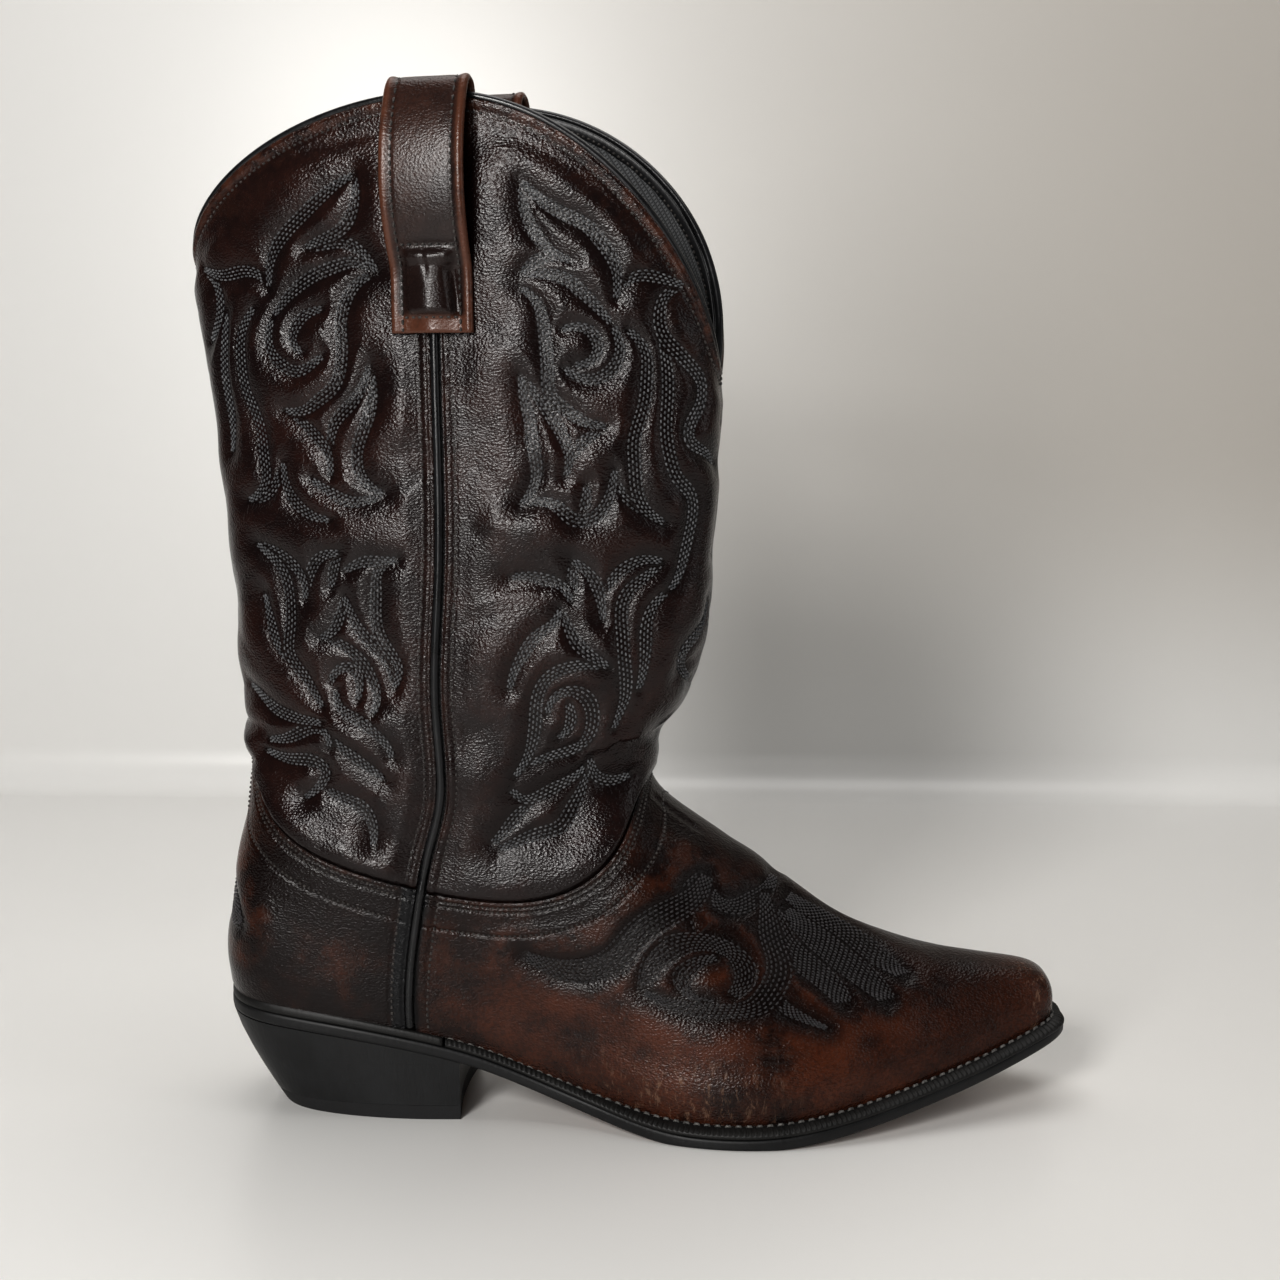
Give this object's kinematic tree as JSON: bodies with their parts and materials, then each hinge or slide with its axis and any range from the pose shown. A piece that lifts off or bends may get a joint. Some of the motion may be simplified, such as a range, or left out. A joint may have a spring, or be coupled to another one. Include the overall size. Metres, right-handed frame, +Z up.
{
  "type": "cowboy boot",
  "caption": "Western riding boot with a tall scalloped shaft, pull straps, a long pointed snip toe, a welted leather sole and a slanted stacked heel.",
  "frame": {"origin": "on the floor, at the centre of the heel's bottom face", "axes": "+X towards the toe, +Y towards the inner side of the foot, +Z up along the shaft"},
  "size_m": [0.3234, 0.1063, 0.374],
  "materials": {
    "shaft_leather": "glossy antiqued burgundy-brown",
    "foot_leather": "glossy antiqued red-brown",
    "strap_leather": "satin brown",
    "black_piping": "glossy black",
    "lining": "dark grey woven",
    "stiffener": "raw fibre board",
    "insole_board": "natural leather",
    "welt": "black wheeled",
    "sole_leather": "natural leather with a black edge",
    "heel": "black waxed stacked leather",
    "rubber": "matt black",
    "cork": "matt ground cork",
    "steel": "plain steel"
  },
  "bodies": {
    "root": {"front_shaft_panel": "shaft_leather", "back_shaft_panel": "shaft_leather", "front_shaft_lining": "lining", "back_shaft_lining": "lining", "vamp": "foot_leather", "counter_cover": "foot_leather", "toe_puff": "stiffener", "heel_stiffener": "stiffener", "vamp_lining": "lining", "heel_lining": "lining", "lateral_side_piping": "black_piping", "medial_side_piping": "black_piping", "front_topline_bead": "black_piping", "back_topline_bead": "black_piping", "lateral_pull_strap": "strap_leather", "medial_pull_strap": "strap_leather", "insole": "insole_board", "heel_sock": "lining", "bottom_filler": "cork", "steel_shank": "steel", "welt": "welt", "heel_rand": "welt", "insole_rib": "lining", "outsole": "sole_leather", "heel_wedge": "heel", "heel_lift_1": "heel", "heel_lift_2": "heel", "heel_top_lift": "rubber", "heel_nail_1": "steel", "heel_nail_2": "steel", "heel_nail_3": "steel", "heel_nail_4": "steel", "heel_nail_5": "steel", "heel_nail_6": "steel", "lift_nail_1": "steel", "lift_nail_2": "steel", "lift_nail_3": "steel", "lift_nail_4": "steel", "lift_nail_5": "steel"}
  },
  "joints": []
}
